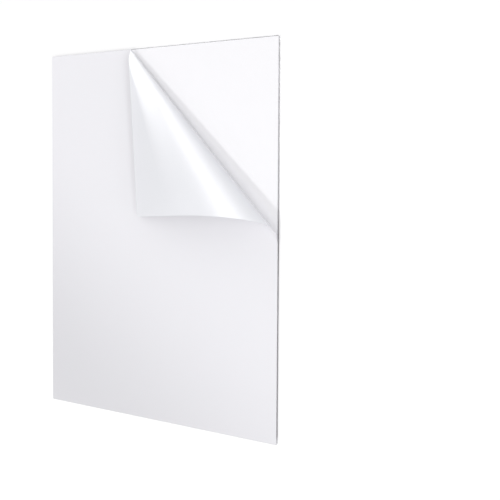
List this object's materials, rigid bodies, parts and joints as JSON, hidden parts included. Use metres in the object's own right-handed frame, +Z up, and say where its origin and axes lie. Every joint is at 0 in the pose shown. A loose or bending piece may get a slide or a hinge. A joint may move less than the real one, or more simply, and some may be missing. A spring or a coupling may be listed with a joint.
{
  "type": "clear acrylic sheet",
  "caption": "Clear acrylic sheet cut to size, lying flat, with its protective film partly peeled back from one corner.",
  "frame": {"origin": "middle of the sheet's back face, on the surface that it lies on", "axes": "+X across the width, +Y along the length, +Z up out of the masked face; the film is peeled from the +X +Y corner"},
  "size_m": [0.3048, 0.4064, 0.0413],
  "materials": {
    "clear_acrylic": "polished",
    "masking_film": "satin"
  },
  "bodies": {
    "root": {"acrylic_sheet": "clear_acrylic", "protective_film": "masking_film"}
  },
  "joints": []
}
